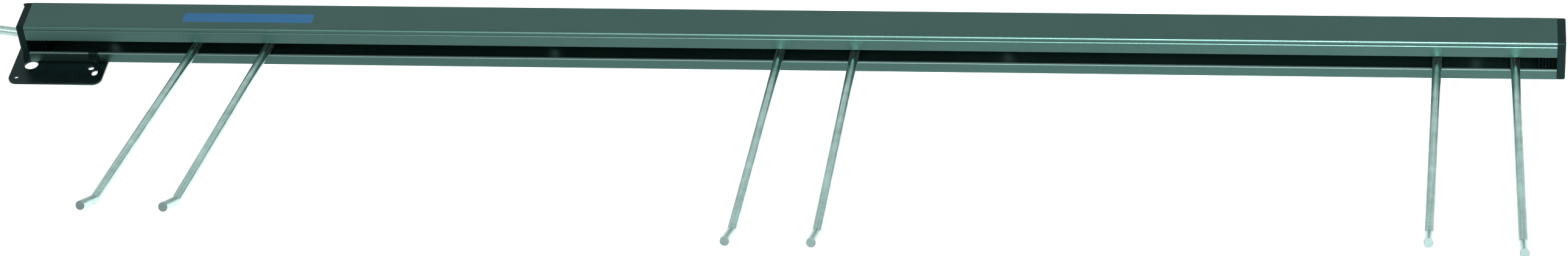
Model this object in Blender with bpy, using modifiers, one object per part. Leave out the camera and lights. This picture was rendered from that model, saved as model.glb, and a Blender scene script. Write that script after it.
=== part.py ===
"""Wall hook rack: an aluminium C-rail that carries three double wire hooks.

Frame: +X along the rail, +Y into the wall, +Z up, in metres. The origin is the
centre of the rail's back face, which lies against the wall.
"""

from math import asin, cos, pi, radians, sin, tan

import bmesh
import bpy
from mathutils import Matrix, Vector

# ---------------------------------------------------------------- driving sizes

GAP = 0.0003                # clearance between touching pieces

RAIL_LENGTH = 1.000
RAIL_DEPTH = 0.0268         # front face to wall
UPPER_LIP = 0.0115          # height of the front wall above the slot
SLOT_HEIGHT = 0.0101
LOWER_LIP = 0.0078          # height of the front wall below the slot
LIP_WALL = 0.0018
TOP_WALL = 0.0018
FLOOR_WALL = 0.0018
BACK_WALL = 0.0025
RAIL_CORNER = 0.0008        # outer corner radius of the section
GROOVE_DROP = 0.0026        # top face down to the decorative groove
GROOVE_WIDTH = 0.0009
GROOVE_DEPTH = 0.0005

WALL_HOLES = 4
WALL_HOLE_INSET = 0.050     # end of the rail to the first wall hole
WALL_HOLE_RADIUS = 0.0025
COUNTERSINK_RADIUS = 0.00425

CAP_THICKNESS = 0.005
CAP_EDGE = 0.0007           # bevel around the cap's outer face
PLUG_LENGTH = 0.012         # part of the cap that fills the rail's end
PIP_SIZE = 0.002            # moulding pip at the left cap's top back corner

SCREW_SHANK = 0.00195       # radius
SCREW_HEAD = 0.0036         # radius
SCREW_HEAD_HEIGHT = 0.0024
SCREW_CLEAR = 0.0005        # screw's tip to the side hook's bore
SCREW_INSET = 0.006         # end of the rail to the screw's axis

PLATE_THICKNESS = 0.0015
PLATE_WIDTH = 0.064
PLATE_OVERHANG = 0.0115     # beyond the rail's left end
PLATE_REACH = 0.0215        # in front of the rail's front face
PLATE_CORNER = 0.006
TAB_WIDTH = 0.0058
TAB_FOOT_WIDTH = 0.0026     # where the tab joins the plate
TAB_FROM_END = 0.0443       # rail's left end to the tab's centre
TAB_INSIDE = 0.0035         # length of the tab's turned-down end
# Plate holes: distance right of the rail's left end, distance in front of the
# rail's front face, radius, and extra length from front to back.
PLATE_HOLES = (
    (0.0007, 0.0026, 0.0046, 0.0),
    (-0.0063, 0.0155, 0.00155, 0.0),
    (0.0461, 0.0100, 0.0020, 0.0022),
    (0.0425, 0.0052, 0.0021, 0.0),
)

WIRE_RADIUS = 0.0030
WIRE_BEND = 0.0060          # centre-line radius of the bends
PRONG_SPACING = 0.0488      # between the two prongs, at the rail's front face
PRONG_LENGTH = 0.200        # front face to the tip's bend, along the prong
TIP_LENGTH = 0.025
TIP_TURN = 20.7             # degrees that the tip turns up from the prong
# Hooks: name, centre right of the rail's left end, then in degrees: rise, turn,
# what the right prong rises more than the left, and how far each turns outwards.
HOOKS = (
    ("left", 0.13835, 11.0, -2.8, 0.0, 0.5),
    ("middle", 0.5288, 6.7, -0.2, 0.0, 0.5),
    ("right", 0.9496, 8.6, -0.1, -1.5, 0.93),
)

GLIDER_WALL = 0.0016
GLIDER_MOUTH = 0.0052       # narrower than the wire, which snaps in
GLIDER_PLAY = 0.0015        # glider's end to the start of the wire's bend

SIDE_REACH = 0.050          # straight length of the side hook outside its cap
SIDE_INSIDE = 0.014         # length held in the cap
SIDE_RISE = 8.8             # degrees
SIDE_DROP = 0.001           # root below the middle of the rail
SIDE_TIP = 0.015

# -------------------------------------------------------------- dependent sizes

RAIL_HEIGHT = UPPER_LIP + SLOT_HEIGHT + LOWER_LIP
TOP = RAIL_HEIGHT / 2
BOTTOM = -TOP
FRONT = -RAIL_DEPTH
LEFT = -RAIL_LENGTH / 2
RIGHT = RAIL_LENGTH / 2
SLOT_TOP = TOP - UPPER_LIP
SLOT_BOTTOM = BOTTOM + LOWER_LIP
SLOT_MIDDLE = (SLOT_TOP + SLOT_BOTTOM) / 2
CEILING = TOP - TOP_WALL
FLOOR = BOTTOM + FLOOR_WALL
LIP_BACK = FRONT + LIP_WALL
BACK_INSIDE = -BACK_WALL
MID_DEPTH = FRONT / 2

GLIDER_BORE = WIRE_RADIUS + GAP
GLIDER_HALF = GLIDER_BORE + GLIDER_WALL
PIVOT_Y = BACK_INSIDE - GAP - GLIDER_HALF
PIVOT_Z = CEILING - GAP - GLIDER_HALF

# The side hook's bore slopes down into the cap, and the screws end below it.
BORE_LOW = (
    -SIDE_DROP
    - (GAP + CAP_THICKNESS + SCREW_INSET + SCREW_SHANK) * tan(radians(SIDE_RISE))
    - (WIRE_RADIUS + GAP) / cos(radians(SIDE_RISE))
)
SCREW_SEAT = BOTTOM - PLATE_THICKNESS - 2 * GAP     # underside of the corner plate
SCREW_LENGTH = BORE_LOW - SCREW_CLEAR - SCREW_SEAT  # under the head


# --------------------------------------------------------------------- helpers

def clear_scene():
    for item in list(bpy.data.objects):
        bpy.data.objects.remove(item, do_unlink=True)


def new_collection(name):
    group = bpy.data.collections.new(name)
    bpy.context.scene.collection.children.link(group)
    return group


def new_material(name, colour, roughness, metallic):
    material = bpy.data.materials.new(name)
    material.use_nodes = True
    shader = material.node_tree.nodes["Principled BSDF"]
    shader.inputs["Base Color"].default_value = (*colour, 1.0)
    shader.inputs["Roughness"].default_value = roughness
    shader.inputs["Metallic"].default_value = metallic
    return material


def place(name, data, collection, material=None):
    item = bpy.data.objects.new(name, data)
    collection.objects.link(item)
    if material is not None:
        data.materials.clear()
        data.materials.append(material)
    return item


def box_mesh(name, low, high):
    """A box between two corners, with its place in the mesh."""
    shape = bmesh.new()
    bmesh.ops.create_cube(shape, size=1.0)
    size = Vector(high) - Vector(low)
    middle = (Vector(high) + Vector(low)) / 2
    bmesh.ops.scale(shape, vec=size, verts=shape.verts)
    bmesh.ops.translate(shape, vec=middle, verts=shape.verts)
    mesh = bpy.data.meshes.new(name)
    shape.to_mesh(mesh)
    shape.free()
    return mesh


def outline_mesh(name, points, thickness, matrix):
    """A flat outline, made solid as a filled 2D curve and turned into a mesh."""
    curve = bpy.data.curves.new(name, "CURVE")
    curve.dimensions = "2D"
    curve.fill_mode = "BOTH"
    curve.extrude = thickness / 2
    spline = curve.splines.new("POLY")
    spline.points.add(len(points) - 1)
    for point, (across, up) in zip(spline.points, points):
        point.co = (across, up, 0.0, 1.0)
    spline.use_cyclic_u = True
    return curve_to_mesh(name, curve, matrix)


def curve_to_mesh(name, curve, matrix):
    guide = bpy.data.objects.new(name + "_guide", curve)
    bpy.context.scene.collection.objects.link(guide)
    graph = bpy.context.evaluated_depsgraph_get()
    mesh = bpy.data.meshes.new_from_object(guide.evaluated_get(graph))
    mesh.name = name
    shape = bmesh.new()
    shape.from_mesh(mesh)
    bmesh.ops.remove_doubles(shape, verts=shape.verts, dist=0.00001)
    bmesh.ops.transform(shape, matrix=matrix, verts=shape.verts)
    bmesh.ops.recalc_face_normals(shape, faces=shape.faces)
    shape.to_mesh(mesh)
    shape.free()
    bpy.data.objects.remove(guide, do_unlink=True)
    bpy.data.curves.remove(curve)
    return mesh


def arc(centre, radius, start, end, steps):
    """Points of a flat arc, with its angles in degrees."""
    points = []
    for step in range(steps + 1):
        angle = radians(start + (end - start) * step / steps)
        points.append((centre[0] + radius * cos(angle), centre[1] + radius * sin(angle)))
    return points


def rounded_path(corners, radius, steps):
    """A path through corners, each inner one rounded to the given radius."""
    path = [corners[0]]
    for before, corner, after in zip(corners, corners[1:], corners[2:]):
        back = (before - corner).normalized()
        ahead = (after - corner).normalized()
        half = back.angle(ahead) / 2
        centre = corner + (back + ahead).normalized() * (radius / sin(half))
        start = corner + back * (radius / tan(half)) - centre
        end = corner + ahead * (radius / tan(half)) - centre
        turn = start.angle(end)
        for step in range(steps + 1):
            share = step / steps
            spoke = start * sin((1 - share) * turn) + end * sin(share * turn)
            path.append(centre + spoke / sin(turn))
    path.append(corners[-1])
    return path


def add_wire(name, path, collection, material, pivot):
    """A round wire along a path, with the object's origin at its pivot."""
    curve = bpy.data.curves.new(name, "CURVE")
    curve.dimensions = "3D"
    curve.bevel_depth = WIRE_RADIUS
    curve.bevel_resolution = 3
    curve.use_fill_caps = True
    spline = curve.splines.new("POLY")
    spline.points.add(len(path) - 1)
    for point, place_ in zip(spline.points, path):
        point.co = (*(place_ - pivot), 1.0)
    wire = place(name, curve, collection, material)
    wire.location = pivot
    return wire


def cut(item, cutter, operation="DIFFERENCE"):
    modifier = item.modifiers.new(cutter.name, "BOOLEAN")
    modifier.object = cutter
    modifier.operation = operation
    modifier.solver = "EXACT"


def as_cutter(item):
    item.hide_render = True
    item.display_type = "WIRE"
    return item


def add_cutter(name, mesh, collection):
    return as_cutter(place(name, mesh, collection))


def add_turned(name, profile, start, direction, collection, material=None):
    """A round solid: (radius, distance along) points, far end first, and a Screw."""
    shape = bmesh.new()
    points = [(0.0, profile[0][1])] + profile + [(0.0, profile[-1][1])]
    verts = [shape.verts.new((radius, 0.0, along)) for radius, along in points]
    for pair in zip(verts, verts[1:]):
        shape.edges.new(pair)
    mesh = bpy.data.meshes.new(name)
    shape.to_mesh(mesh)
    shape.free()
    turned = place(name, mesh, collection, material)
    turned.location = start
    turned.rotation_euler = direction.to_track_quat("Z", "Y").to_euler()
    turn = turned.modifiers.new("turned", "SCREW")
    turn.axis = "Z"
    turn.angle = 2 * pi
    turn.steps = 24
    turn.render_steps = 24
    turn.use_merge_vertices = True
    turn.merge_threshold = 0.00001
    return turned


def add_round_cutter(name, radius, start, end, collection):
    """A round bar between two points, for cutting a hole."""
    along = end - start
    profile = [(radius, along.length), (radius, 0.0)]
    return as_cutter(add_turned(name, profile, start, along, collection))


# Turns a flat outline (across, up) into world (Y, Z), with its thickness along X.
ALONG_RAIL = Matrix(((0, 0, 1, 0), (1, 0, 0, 0), (0, 1, 0, 0), (0, 0, 0, 1)))


# ------------------------------------------------------------------------ rail

def rail_section():
    """The C-shaped section as (Y, Z) points, starting at the lower lip's top."""
    r = RAIL_CORNER
    groove = TOP - GROOVE_DROP
    points = [(FRONT, SLOT_BOTTOM)]
    points += arc((FRONT + r, BOTTOM + r), r, 180, 270, 3)
    points += arc((-r, BOTTOM + r), r, 270, 360, 3)
    points += arc((-r, TOP - r), r, 0, 90, 3)
    points += arc((FRONT + r, TOP - r), r, 90, 180, 3)
    points += [
        (FRONT, groove + GROOVE_WIDTH / 2),
        (FRONT + GROOVE_DEPTH, groove),
        (FRONT, groove - GROOVE_WIDTH / 2),
        (FRONT, SLOT_TOP),
        (LIP_BACK, SLOT_TOP),
        (LIP_BACK, CEILING),
        (BACK_INSIDE, CEILING),
        (BACK_INSIDE, FLOOR),
        (LIP_BACK, FLOOR),
        (LIP_BACK, SLOT_BOTTOM),
    ]
    return points


def wall_hole_places():
    first = LEFT + WALL_HOLE_INSET
    pitch = (RAIL_LENGTH - 2 * WALL_HOLE_INSET) / (WALL_HOLES - 1)
    return [first + pitch * index for index in range(WALL_HOLES)]


def screw_places():
    return {"left": LEFT + SCREW_INSET, "right": RIGHT - SCREW_INSET}


def build_rail(parts, cutters, material):
    matrix = ALONG_RAIL
    mesh = outline_mesh("rail", rail_section(), RAIL_LENGTH, matrix)
    rail = place("rail", mesh, parts, material)
    sink = COUNTERSINK_RADIUS - WALL_HOLE_RADIUS
    profile = [
        (WALL_HOLE_RADIUS, BACK_WALL + sink),
        (WALL_HOLE_RADIUS, sink),
        (COUNTERSINK_RADIUS + sink, -sink),
    ]
    inwards = Vector((0.0, 1.0, 0.0))
    for index, x in enumerate(wall_hole_places()):
        start = Vector((x, BACK_INSIDE, SLOT_MIDDLE))
        hole = add_turned(f"wall_hole_{index + 1}", profile, start, inwards, cutters)
        cut(rail, as_cutter(hole))
    for side, x in screw_places().items():
        low = Vector((x, MID_DEPTH, BOTTOM - FLOOR_WALL))
        high = Vector((x, MID_DEPTH, FLOOR + FLOOR_WALL))
        name = f"floor_hole_{side}"
        cut(rail, add_round_cutter(name, SCREW_SHANK + GAP, low, high, cutters))
    return rail


# -------------------------------------------------------------------- end caps

def side_hook_axis():
    """Where the side hook leaves the left cap, and its direction outwards."""
    root = Vector((LEFT - GAP - CAP_THICKNESS, MID_DEPTH, -SIDE_DROP))
    rise = radians(SIDE_RISE)
    return root, Vector((-cos(rise), 0.0, sin(rise)))


def build_cap(side, parts, cutters, material):
    """A flange with the rail's outline, and a plug that fills the rail's end."""
    outward = -1 if side == "left" else 1
    end = LEFT if side == "left" else RIGHT
    inner = end + outward * GAP
    outer = inner + outward * CAP_THICKNESS
    name = f"end_cap_{side}"
    flange = box_mesh(
        name,
        (min(inner, outer), FRONT, BOTTOM),
        (max(inner, outer), 0.0, TOP),
    )
    shape = bmesh.new()
    shape.from_mesh(flange)
    sharp = [edge for edge in shape.edges if on_outer_face(edge, outer)]
    sharp += [edge for edge in shape.edges if runs_along_rail(edge)]
    bmesh.ops.bevel(
        shape,
        geom=sharp,
        offset=CAP_EDGE,
        offset_type="OFFSET",
        segments=2,
        profile=0.5,
        affect="EDGES",
    )
    shape.to_mesh(flange)
    shape.free()
    cap = place(name, flange, parts, material)

    plug_end = end - outward * PLUG_LENGTH
    overlap = inner + outward * CAP_THICKNESS / 2
    plug = box_mesh(
        f"plug_{side}",
        (min(plug_end, overlap), LIP_BACK + GAP, FLOOR + GAP),
        (max(plug_end, overlap), BACK_INSIDE - GAP, CEILING - GAP),
    )
    cut(cap, add_cutter(f"plug_{side}", plug, cutters), "UNION")

    x = screw_places()[side]
    low = Vector((x, MID_DEPTH, FLOOR - FLOOR_WALL))
    high = Vector((x, MID_DEPTH, screw_seat(side) + SCREW_LENGTH + GAP))
    cut(cap, add_round_cutter(f"pilot_{side}", SCREW_SHANK + GAP, low, high, cutters))

    if side == "left":
        pip = box_mesh(
            "pip",
            (outer - PIP_SIZE / 2, -PIP_SIZE, TOP - PIP_SIZE),
            (outer + PIP_SIZE, -CAP_EDGE, TOP - CAP_EDGE / 2),
        )
        cut(cap, add_cutter("pip", pip, cutters), "UNION")
        root, outwards = side_hook_axis()
        start = root + outwards * CAP_THICKNESS
        finish = root - outwards * (CAP_THICKNESS + PLUG_LENGTH) * 1.5
        cut(cap, add_round_cutter("side_bore", WIRE_RADIUS + GAP, start, finish, cutters))
    return cap


def on_outer_face(edge, outer):
    return all(abs(vert.co.x - outer) < 0.00001 for vert in edge.verts)


def runs_along_rail(edge):
    first, second = edge.verts
    return abs(first.co.x - second.co.x) > 0.00001


# ---------------------------------------------------------------------- screws

def screw_seat(side):
    """Height of the underside that the screw's head bears on."""
    if side == "left":
        return BOTTOM - GAP - PLATE_THICKNESS - GAP
    return BOTTOM - GAP


def build_screw(side, parts, material):
    """A pan-head screw that points up."""
    profile = [
        (SCREW_SHANK * 0.3, SCREW_LENGTH),
        (SCREW_SHANK, SCREW_LENGTH - 2 * SCREW_SHANK),
        (SCREW_SHANK, 0.0),
        (SCREW_HEAD, 0.0),
    ]
    for across, drop in arc((0.0, 0.0), 1.0, 0, 75, 4):
        profile.append((SCREW_HEAD * across, -SCREW_HEAD_HEIGHT * (0.3 + 0.7 * drop)))
    start = Vector((screw_places()[side], MID_DEPTH, screw_seat(side)))
    upwards = Vector((0.0, 0.0, 1.0))
    return add_turned(f"cap_screw_{side}", profile, start, upwards, parts, material)


# ---------------------------------------------------------------- corner plate

def build_corner_plate(parts, cutters, material):
    """A steel plate under the rail's left end, with a tab over the lower lip."""
    left = LEFT - PLATE_OVERHANG
    right = left + PLATE_WIDTH
    front = FRONT - PLATE_REACH
    r = PLATE_CORNER
    outline = arc((left + r, front + r), r, 180, 270, 6)
    outline += arc((right - r, front + r), r, 270, 360, 6)
    outline += [(right, 0.0), (left, 0.0)]
    top = BOTTOM - GAP
    bottom = top - PLATE_THICKNESS
    middle = Matrix.Translation((0.0, 0.0, (top + bottom) / 2))
    mesh = outline_mesh("corner_plate", outline, PLATE_THICKNESS, middle)
    plate = place("corner_plate", mesh, parts, material)

    tab_x = LEFT + TAB_FROM_END
    half = TAB_WIDTH / 2
    tab_front = FRONT - GAP - PLATE_THICKNESS
    over_low = SLOT_BOTTOM + GAP
    over_high = over_low + PLATE_THICKNESS
    inside = LIP_BACK + GAP
    foot = SLOT_BOTTOM - LOWER_LIP / 2
    riser = [
        (tab_x + half - TAB_FOOT_WIDTH, bottom + PLATE_THICKNESS / 3),
        (tab_x + half, bottom + PLATE_THICKNESS / 3),
        (tab_x + half, over_high),
        (tab_x - half, over_high),
        (tab_x - half, foot),
        (tab_x + half - TAB_FOOT_WIDTH, foot - half),
    ]
    # Turns a flat outline (across, up) into world (X, Z), with its thickness along Y.
    tab_depth = FRONT - GAP - PLATE_THICKNESS / 2
    facing = Matrix(((1, 0, 0, 0), (0, 0, -1, tab_depth), (0, 1, 0, 0), (0, 0, 0, 1)))
    mesh = outline_mesh("tab_riser", riser, PLATE_THICKNESS, facing)
    cut(plate, add_cutter("tab_riser", mesh, cutters), "UNION")
    over = box_mesh(
        "tab_top",
        (tab_x - half, tab_front + PLATE_THICKNESS / 3, over_low),
        (tab_x + half, inside + PLATE_THICKNESS, over_high),
    )
    cut(plate, add_cutter("tab_top", over, cutters), "UNION")
    down = box_mesh(
        "tab_end",
        (tab_x - half, inside, over_low - TAB_INSIDE),
        (tab_x + half, inside + PLATE_THICKNESS, over_low + PLATE_THICKNESS / 3),
    )
    cut(plate, add_cutter("tab_end", down, cutters), "UNION")

    for index, (across, forward, radius, extra) in enumerate(PLATE_HOLES):
        x = LEFT + across
        y = FRONT - forward
        hole = arc((x, y + extra / 2), radius, 0, 180, 10)
        hole += arc((x, y - extra / 2), radius, 180, 360, 10)[0 if extra else 1:None if extra else -1]
        mesh = outline_mesh("plate_hole", hole, PLATE_THICKNESS * 2, middle)
        cut(plate, add_cutter(f"plate_hole_{index + 1}", mesh, cutters))
    x = screw_places()["left"]
    low = Vector((x, MID_DEPTH, bottom - PLATE_THICKNESS))
    high = Vector((x, MID_DEPTH, top + PLATE_THICKNESS))
    cut(plate, add_round_cutter("plate_screw_hole", SCREW_SHANK + GAP, low, high, cutters))
    return plate


# ----------------------------------------------------------------- wire pieces

def prong_direction(rise, turn):
    return Vector((sin(turn) * cos(rise), -cos(turn) * cos(rise), sin(rise)))


def prong_height(rise):
    """Height of the prong's centre line at the front face, over the lower lip."""
    return SLOT_BOTTOM + (WIRE_RADIUS + GAP) / cos(rise) + LIP_WALL * tan(rise)


def crossbar_centre(from_end, turn):
    """The crossbar's middle, which a turned hook carries to one side."""
    return LEFT + from_end + (FRONT - PIVOT_Y) * tan(turn)


def half_hook(centre, rise, turn, side):
    """Corners of one prong, from its tip to the top of its leg."""
    front = Vector((centre + side * PRONG_SPACING / 2, FRONT, prong_height(rise)))
    along = prong_direction(rise, turn)
    inwards = (PIVOT_Y - FRONT) / along.y
    knee = front + along * inwards
    bend = front + along * PRONG_LENGTH
    tip = bend + prong_direction(rise + radians(TIP_TURN), turn) * TIP_LENGTH
    top = Vector((knee.x, PIVOT_Y, PIVOT_Z))
    return [tip, bend, knee, top]


def build_hook(name, from_end, rise, turn, twist, splay, parts, material):
    """One bent wire: tip, prong, leg, crossbar, leg, prong, tip."""
    centre = LEFT + from_end
    rise = radians(rise)
    turn = radians(turn)
    splay = radians(splay)
    corners = half_hook(centre, rise, turn - splay, -1)
    corners += reversed(half_hook(centre, rise + radians(twist), turn + splay, 1))
    path = rounded_path(corners, WIRE_BEND, 6)
    pivot = Vector((crossbar_centre(from_end, turn), PIVOT_Y, PIVOT_Z))
    return add_wire(f"hook_{name}", path, parts, material, pivot)


def glider_section():
    """A square clip with a round seat, open at the bottom, about its seat."""
    mouth = GLIDER_MOUTH / 2
    lip = 180 / pi * asin(mouth / GLIDER_BORE)
    h = GLIDER_HALF
    points = [(-mouth, -h), (-h, -h), (-h, h), (h, h), (h, -h), (mouth, -h)]
    points += arc((0.0, 0.0), GLIDER_BORE, lip - 90, 270 - lip, 16)
    return points


def build_glider(name, from_end, turn, parts, material):
    """A nylon clip that holds the hook's crossbar under the rail's ceiling."""
    length = PRONG_SPACING - 2 * (WIRE_BEND + GLIDER_PLAY)
    mesh = outline_mesh(f"glider_{name}", glider_section(), length, ALONG_RAIL)
    glider = place(f"glider_{name}", mesh, parts, material)
    glider.location = (crossbar_centre(from_end, radians(turn)), PIVOT_Y, PIVOT_Z)
    return glider


def build_side_hook(parts, material):
    root, outwards = side_hook_axis()
    rise = radians(SIDE_RISE + TIP_TURN)
    bend = root + outwards * SIDE_REACH
    tip = bend + Vector((-cos(rise), 0.0, sin(rise))) * SIDE_TIP
    path = rounded_path([root - outwards * SIDE_INSIDE, bend, tip], WIRE_BEND, 6)
    return add_wire("side_hook", path, parts, material, root)


# ----------------------------------------------------------------------- build

def shade(item, angle):
    if item.type == "MESH":
        item.data.shade_smooth()
        item.data.set_sharp_from_angle(angle=radians(angle))


def main():
    clear_scene()
    parts = new_collection("wall_hook_rack")
    cutters = new_collection("cutters")
    aluminium = new_material("anodised_aluminium", (0.16, 0.22, 0.21), 0.38, 0.85)
    plastic = new_material("black_plastic", (0.02, 0.04, 0.04), 0.5, 0.0)
    nylon = new_material("glider_nylon", (0.012, 0.014, 0.015), 0.55, 0.0)
    steel = new_material("black_steel", (0.012, 0.022, 0.022), 0.45, 0.0)
    zinc = new_material("zinc_wire", (0.48, 0.54, 0.53), 0.25, 1.0)
    screw = new_material("screw_steel", (0.3, 0.31, 0.31), 0.35, 1.0)

    build_rail(parts, cutters, aluminium)
    for side in ("left", "right"):
        build_cap(side, parts, cutters, plastic)
        build_screw(side, parts, screw)
    build_corner_plate(parts, cutters, steel)
    build_side_hook(parts, zinc)
    for name, from_end, rise, turn, twist, splay in HOOKS:
        build_hook(name, from_end, rise, turn, twist, splay, parts, zinc)
        build_glider(name, from_end, turn, parts, nylon)
    for item in parts.objects:
        shade(item, 35)


main()
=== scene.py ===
# %% [markdown]
# # A wall hook rack
#
# The real rack is a grey-green anodised aluminium rail with a slot along its
# front. Three double hooks of bright zinc-plated wire hang in the slot on hidden
# clips. Black plastic caps close the rail's ends, and a drilled black plate sits
# under its left end.
#
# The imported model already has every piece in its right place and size. This
# lesson keeps those places and builds a finer piece over each of them: round
# wire that was bent like wire, rounded extrusion edges, moulded ribs. Then it
# gives each one a finish made of shader nodes.

from math import asin, cos, degrees, pi, radians, sin, tan

import bmesh
import bpy
from mathutils import Matrix, Vector


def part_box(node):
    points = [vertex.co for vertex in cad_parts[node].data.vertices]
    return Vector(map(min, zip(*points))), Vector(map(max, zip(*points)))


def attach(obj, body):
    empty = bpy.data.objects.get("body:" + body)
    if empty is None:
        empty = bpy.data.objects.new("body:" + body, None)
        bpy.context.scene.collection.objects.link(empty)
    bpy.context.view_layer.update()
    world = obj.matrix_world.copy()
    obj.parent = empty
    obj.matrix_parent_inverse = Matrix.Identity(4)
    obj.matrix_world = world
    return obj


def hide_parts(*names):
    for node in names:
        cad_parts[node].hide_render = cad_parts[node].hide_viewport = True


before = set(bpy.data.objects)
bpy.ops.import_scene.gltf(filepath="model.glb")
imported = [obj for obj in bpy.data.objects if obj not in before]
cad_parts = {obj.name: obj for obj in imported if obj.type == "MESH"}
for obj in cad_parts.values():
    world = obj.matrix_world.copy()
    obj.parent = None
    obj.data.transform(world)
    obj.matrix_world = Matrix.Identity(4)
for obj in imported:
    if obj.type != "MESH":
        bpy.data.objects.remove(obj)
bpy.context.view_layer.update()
print("nodes:", sorted(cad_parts))

# %% [markdown]
# ## Sizes
#
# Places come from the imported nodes: the rail's box gives its ends, front, top
# and bottom. The walls and radii are the workshop sizes of the piece, written
# once here, so that each later cell can use them by name.

# %% Read the rail's box and name the sizes
RAIL_LOW, RAIL_HIGH = (Vector(corner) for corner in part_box("rail"))
LEFT, FRONT, BOTTOM = RAIL_LOW
RIGHT, BACK, TOP = RAIL_HIGH
GAP = 0.0003

UPPER_LIP = 0.0115
LOWER_LIP = 0.0078
THIN_WALL = 0.0018
BACK_WALL = 0.0025
PLATE_THICKNESS = 0.0015
SLOT_TOP = TOP - UPPER_LIP
SLOT_BOTTOM = BOTTOM + LOWER_LIP
SLOT_MIDDLE = (SLOT_TOP + SLOT_BOTTOM) / 2
LIP_BACK = FRONT + THIN_WALL
BACK_INSIDE = BACK - BACK_WALL
MID_DEPTH = (FRONT + BACK) / 2

print(f"rail {1000 * (RIGHT - LEFT):.0f} mm long, {1000 * (TOP - BOTTOM):.1f} mm high")

# %% [markdown]
# ## Shader maths as Python
#
# A finish is easier to read as a formula than as a drawing of wires. `Signal`
# wraps the output of one shader node. Adding, subtracting or multiplying
# signals adds the Math node that does it, and numbers may stand on either side.
# `Finish.node` makes any other node: first its settings, then its inputs.


# %% A signal that Python's operators can work on
class Signal:
    """The output of a shader node."""

    def __init__(self, finish, socket):
        self.finish = finish
        self.socket = socket

    def math(self, operation, *terms):
        settings = {"operation": operation}
        return self.finish.node("ShaderNodeMath", settings, dict(enumerate(terms)))

    def __add__(self, other):
        return self.math("ADD", self, other)

    def __sub__(self, other):
        return self.math("SUBTRACT", self, other)

    def __rsub__(self, other):
        return self.math("SUBTRACT", other, self)

    def __mul__(self, other):
        return self.math("MULTIPLY", self, other)

    def __pow__(self, other):
        return self.math("POWER", self, other)

    def __abs__(self):
        return self.math("ABSOLUTE", self)

    __radd__ = __add__
    __rmul__ = __mul__

    def ramp(self, low, high):
        """0 below low, 1 above high, and smooth between them."""
        settings = {"interpolation_type": "SMOOTHSTEP"}
        inputs = {"Value": self, "From Min": low, "From Max": high}
        return self.finish.node("ShaderNodeMapRange", settings, inputs)


# %% A finish that makes nodes
class Finish:
    """A material, and the node tree that gives it its look."""

    def __init__(self, name, **constants):
        self.material = bpy.data.materials.new(name)
        self.material.use_nodes = True
        self.tree = self.material.node_tree
        self.shader = self.tree.nodes["Principled BSDF"]
        for socket, value in constants.items():
            self.shader.inputs[socket.replace("_", " ")].default_value = value

    def node(self, kind, settings=None, inputs=None, output=0):
        node = self.tree.nodes.new(kind)
        for setting, value in (settings or {}).items():
            setattr(node, setting, value)
        for name, value in (inputs or {}).items():
            socket = self.find_input(node, name)
            if isinstance(value, Signal):
                self.tree.links.new(value.socket, socket)
            else:
                socket.default_value = value
        return Signal(self, node.outputs[output])

    def find_input(self, node, name):
        for socket in node.inputs:
            if socket.identifier == name:
                return socket
        return node.inputs[name]

    def place(self, stretch=(1.0, 1.0, 1.0)):
        """Object coordinates, stretched along each axis."""
        spot = self.node("ShaderNodeTexCoord", output=3)
        inputs = {0: spot, 1: stretch}
        return self.node("ShaderNodeVectorMath", {"operation": "MULTIPLY"}, inputs)

    def axes(self, vector):
        """The three numbers of a vector, as signals."""
        first = self.node("ShaderNodeSeparateXYZ", inputs={"Vector": vector})
        node = first.socket.node
        return [Signal(self, socket) for socket in node.outputs]

    def noise(self, vector, scale, detail=2.0, roughness=0.5):
        inputs = {"Vector": vector, "Scale": scale, "Detail": detail, "Roughness": roughness}
        return self.node("ShaderNodeTexNoise", inputs=inputs)

    def mix(self, mask, first, second):
        """The first colour where the mask is 0, and the second where it is 1."""
        inputs = {"Factor_Float": mask, "A_Color": first, "B_Color": second}
        return self.node("ShaderNodeMix", {"data_type": "RGBA"}, inputs, output=2)

    def feed(self, **signals):
        for name, signal in signals.items():
            self.tree.links.new(signal.socket, self.shader.inputs[name.replace("_", " ")])

    def bump(self, height, depth):
        """Raise the surface by the height signal, whose full range is depth metres."""
        inputs = {"Height": height, "Distance": depth, "Strength": 1.0}
        self.feed(Normal=self.node("ShaderNodeBump", inputs=inputs))


def rgb(red, green, blue):
    return (red, green, blue, 1.0)


# %% [markdown]
# ## Anodised aluminium
#
# The rail is an extrusion, so every mark on it runs lengthwise: die lines are
# noise stretched hundreds of times along X. Anodising dulls the metal evenly and
# tints it grey-green. Hands leave it slightly duller in patches. A paler line
# along the top edge of the lower lip is a painted highlight, and that line is rougher too.
#
# The real rail carries a printed mark on top. A plain blue ink patch without
# any lettering stands in for it, painted by a mask in the same material,
# because ink has no thickness of its own.

# %% Anodised aluminium with an ink patch
PATCH_CENTRE = (LEFT + 0.151, FRONT + 0.0122)
PATCH_HALF = (0.044, 0.0046)
PATCH_CORNER = 0.0012
PATCH_BLUR = 0.00015


def rounded_patch(finish, x, y):
    """1 inside a rounded rectangle on the top face, 0 outside."""
    across = abs(x - PATCH_CENTRE[0]) - (PATCH_HALF[0] - PATCH_CORNER)
    deep = abs(y - PATCH_CENTRE[1]) - (PATCH_HALF[1] - PATCH_CORNER)
    across = across.math("MAXIMUM", across, 0.0)
    deep = deep.math("MAXIMUM", deep, 0.0)
    distance = (across * across + deep * deep) ** 0.5
    return 1 - distance.ramp(PATCH_CORNER - PATCH_BLUR, PATCH_CORNER + PATCH_BLUR)


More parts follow.
